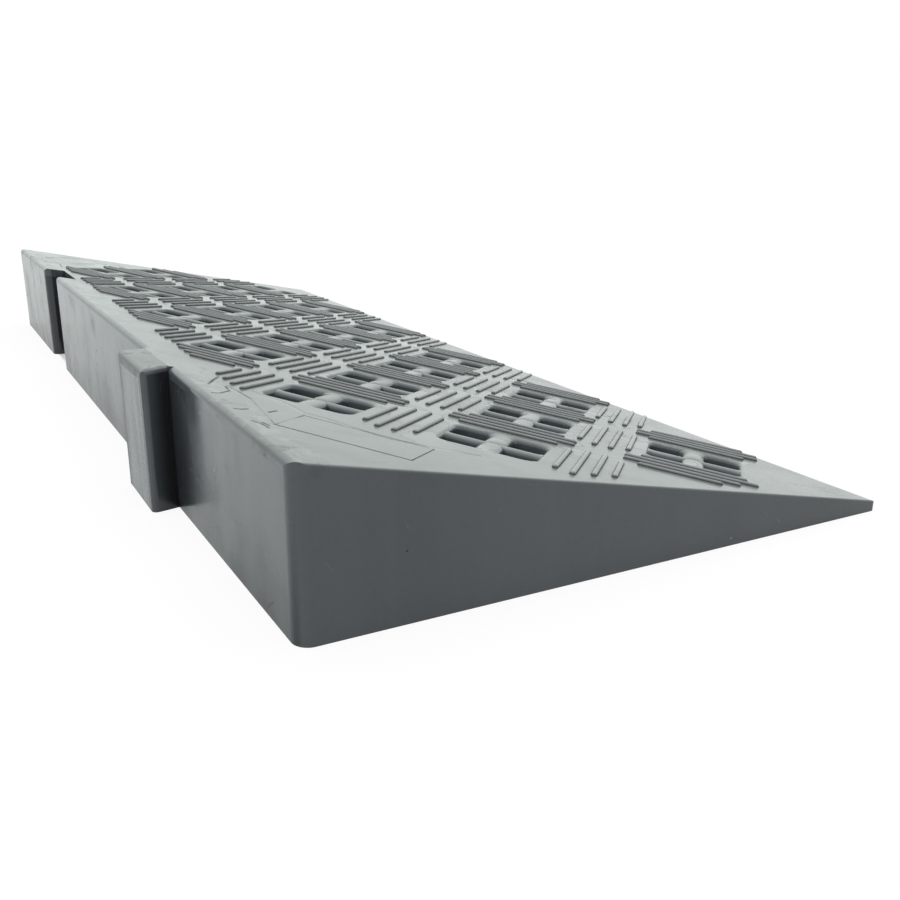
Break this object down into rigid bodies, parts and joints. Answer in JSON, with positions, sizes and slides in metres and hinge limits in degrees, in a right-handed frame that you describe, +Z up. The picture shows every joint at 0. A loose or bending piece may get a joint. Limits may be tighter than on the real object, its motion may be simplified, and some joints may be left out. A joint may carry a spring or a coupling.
{
  "type": "floor ramp",
  "caption": "Wedge-shaped plastic kerb ramp with a ribbed, drained tread, a coupling tongue and a matching socket in its tall back face.",
  "frame": {"origin": "on the ground, below the middle of the box round the ramp and its tongue", "axes": "+X along the kerb, towards the end with the socket; +Y from the front lip to the tall back face; +Z up"},
  "size_m": [0.6, 0.26, 0.062],
  "materials": {
    "deck_plastic": "fine satin moulded polypropylene, light grey",
    "wall_plastic": "smooth satin moulded polypropylene, grey",
    "tongue_plastic": "smooth satin moulded polypropylene, grey, scuffed",
    "rib_plastic": "satin moulded polypropylene, grey",
    "underside_plastic": "satin moulded polypropylene, grey"
  },
  "bodies": {
    "root": {"deck_plate": "deck_plastic", "front_toe": "deck_plastic", "left_end_wall": "wall_plastic", "right_end_wall": "wall_plastic", "back_wall_long": "wall_plastic", "back_wall_short": "wall_plastic", "socket_wall": "wall_plastic", "coupling_tongue": "tongue_plastic", "pocket_crosses": "deck_plastic", "tread_ribs_falling": "rib_plastic", "tread_ribs_rising": "rib_plastic", "webs_falling": "underside_plastic", "webs_rising": "underside_plastic"}
  },
  "joints": []
}
